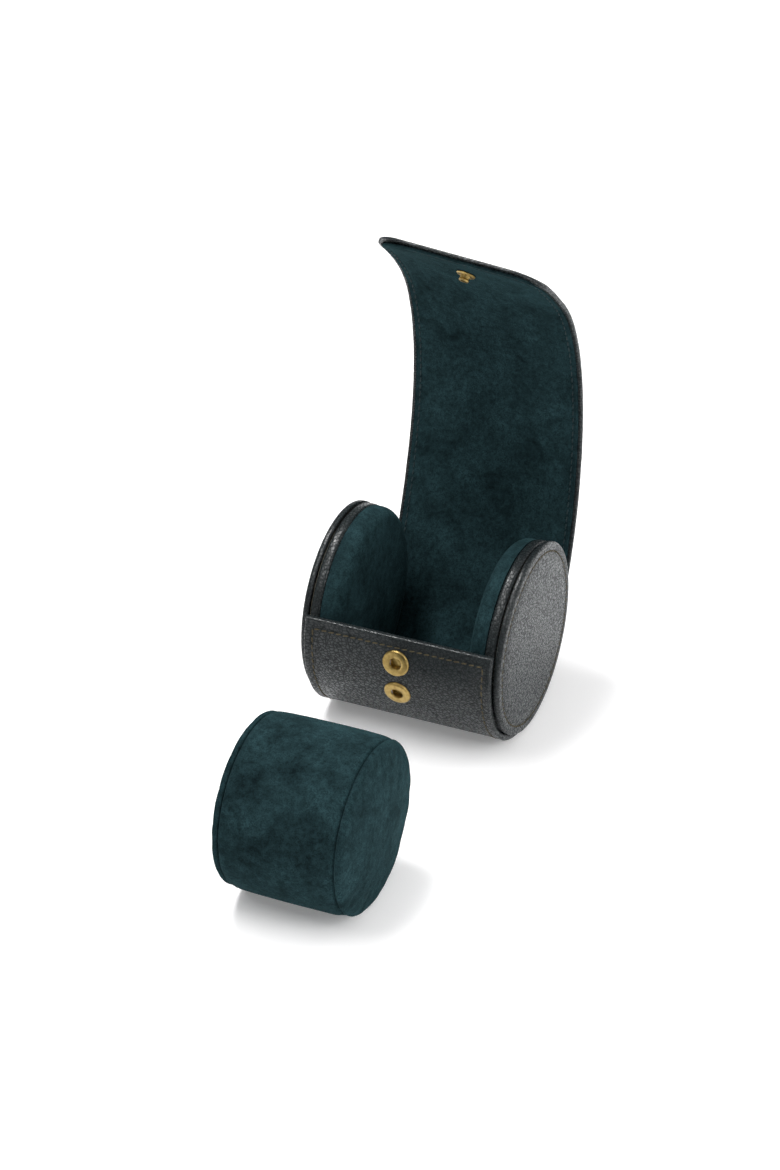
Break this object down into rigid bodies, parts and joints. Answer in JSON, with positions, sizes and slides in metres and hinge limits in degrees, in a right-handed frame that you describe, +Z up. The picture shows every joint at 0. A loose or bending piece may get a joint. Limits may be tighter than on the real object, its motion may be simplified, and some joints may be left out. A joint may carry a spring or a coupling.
{
  "type": "watch roll",
  "caption": "Round watch roll in dark green pebbled leather with a suede lining, a long snap flap and a loose cushion",
  "frame": {"origin": "centre of the flat under the roll, on the floor", "axes": "X along the roll, -Y to the front where the snaps are, Z up"},
  "size_m": [0.0812, 0.2215, 0.1831],
  "materials": {
    "green_leather": "pebbled, soft sheen",
    "green_suede": "mottled nap",
    "gold_snap": "polished",
    "tan_thread": "waxed thread",
    "steel_spring": "plain",
    "board": "plain greyboard",
    "foam": "plain foam"
  },
  "bodies": {
    "case": {"end_disc_right": "green_leather", "end_disc_left": "green_leather", "end_board_right": "board", "end_board_left": "board", "rim_band_right": "green_leather", "rim_band_left": "green_leather", "end_core_right": "foam", "end_core_left": "foam", "end_pad_right": "green_suede", "end_pad_left": "green_suede", "wrap_leather": "green_leather", "wrap_board": "board", "wrap_lining": "green_suede", "snap_socket_upper": "gold_snap", "snap_socket_lower": "gold_snap", "snap_springs": "steel_spring", "snap_washers": "steel_spring", "flap_leather_01": "green_leather", "flap_lining_01": "green_suede"},
    "cushion": {"cushion_cover": "green_suede", "cushion_core": "foam", "cushion_end_right": "green_suede", "cushion_end_left": "green_suede"},
    "flap_02": {"flap_leather_02": "green_leather", "flap_lining_02": "green_suede"},
    "flap_03": {"flap_leather_03": "green_leather", "flap_lining_03": "green_suede"},
    "flap_04": {"flap_leather_04": "green_leather", "flap_lining_04": "green_suede"},
    "flap_05": {"flap_leather_05": "green_leather", "flap_lining_05": "green_suede"},
    "flap_06": {"flap_leather_06": "green_leather", "flap_lining_06": "green_suede"},
    "flap_07": {"flap_leather_07": "green_leather", "flap_lining_07": "green_suede"},
    "flap_08": {"flap_leather_08": "green_leather", "flap_lining_08": "green_suede"},
    "flap_09": {"flap_leather_09": "green_leather", "flap_lining_09": "green_suede"},
    "flap_10": {"flap_leather_10": "green_leather", "flap_lining_10": "green_suede"},
    "flap_11": {"flap_leather_11": "green_leather", "flap_lining_11": "green_suede"},
    "flap_12": {"flap_leather_12": "green_leather", "flap_lining_12": "green_suede", "snap_stud": "gold_snap", "stud_washer": "steel_spring"}
  },
  "joints": [
    {"name": "flap", "type": "hinge", "parent": "case", "child": "flap_02", "pos_m": [0, 0.03795, 0.02779], "axis": [1, 0, 0], "range_deg": [-7.22, 20.62]},
    {"name": "flap_bend_03", "type": "hinge", "parent": "flap_02", "child": "flap_03", "pos_m": [0, 0.045, 0.04051], "axis": [1, 0, 0], "range_deg": [-5.25, 14.91]},
    {"name": "flap_bend_04", "type": "hinge", "parent": "flap_03", "child": "flap_04", "pos_m": [0, 0.05068, 0.05389], "axis": [1, 0, 0], "range_deg": [-5.38, 15.28]},
    {"name": "flap_bend_05", "type": "hinge", "parent": "flap_04", "child": "flap_05", "pos_m": [0, 0.05507, 0.0678], "axis": [0.9979, 0.008, 0.0637], "range_deg": [-5.52, 15.68]},
    {"name": "flap_bend_06", "type": "hinge", "parent": "flap_05", "child": "flap_06", "pos_m": [-0.00001, 0.05823, 0.08204], "axis": [0.9975, -0.0142, 0.0693], "range_deg": [-5.46, 15.52]},
    {"name": "flap_bend_07", "type": "hinge", "parent": "flap_06", "child": "flap_07", "pos_m": [-0.00006, 0.06013, 0.09651], "axis": [0.9965, -0.0368, 0.0753], "range_deg": [-5.22, 14.82]},
    {"name": "flap_bend_08", "type": "hinge", "parent": "flap_07", "child": "flap_08", "pos_m": [-0.00016, 0.06064, 0.11104], "axis": [0.9947, -0.0612, 0.0823], "range_deg": [-4.79, 13.6]},
    {"name": "flap_bend_09", "type": "hinge", "parent": "flap_08", "child": "flap_09", "pos_m": [-0.00037, 0.05951, 0.12549], "axis": [0.9919, -0.0889, 0.0912], "range_deg": [-4.17, 11.84]},
    {"name": "flap_bend_10", "type": "hinge", "parent": "flap_09", "child": "flap_10", "pos_m": [-0.00072, 0.0564, 0.13955], "axis": [0.9858, -0.1263, 0.1104], "range_deg": [-3.18, 9]},
    {"name": "flap_bend_11", "type": "hinge", "parent": "flap_10", "child": "flap_11", "pos_m": [-0.00131, 0.05085, 0.15269], "axis": [0.9474, -0.2307, 0.2219], "range_deg": [-1.41, 3.94]},
    {"name": "flap_bend_12", "type": "hinge", "parent": "flap_11", "child": "flap_12", "pos_m": [-0.00225, 0.04228, 0.16371], "axis": [0.984, -0.1746, 0.0343], "range_deg": [-5, 14.19]},
    {"name": "cushion_swing", "type": "hinge", "parent": "case", "child": "cushion", "pos_m": [0, -0.06186, 0.0499], "axis": [-1, 0, 0], "range_deg": [0, 209.16]}
  ],
  "couplings": [
    {"joint": "flap_bend_03", "follows": "flap", "ratio": 0.72057},
    {"joint": "flap_bend_04", "follows": "flap", "ratio": 0.73879},
    {"joint": "flap_bend_05", "follows": "flap", "ratio": 0.75817},
    {"joint": "flap_bend_06", "follows": "flap", "ratio": 0.75036},
    {"joint": "flap_bend_07", "follows": "flap", "ratio": 0.7166},
    {"joint": "flap_bend_08", "follows": "flap", "ratio": 0.65719},
    {"joint": "flap_bend_09", "follows": "flap", "ratio": 0.57159},
    {"joint": "flap_bend_10", "follows": "flap", "ratio": 0.43388},
    {"joint": "flap_bend_11", "follows": "flap", "ratio": 0.18852},
    {"joint": "flap_bend_12", "follows": "flap", "ratio": 0.68601}
  ]
}
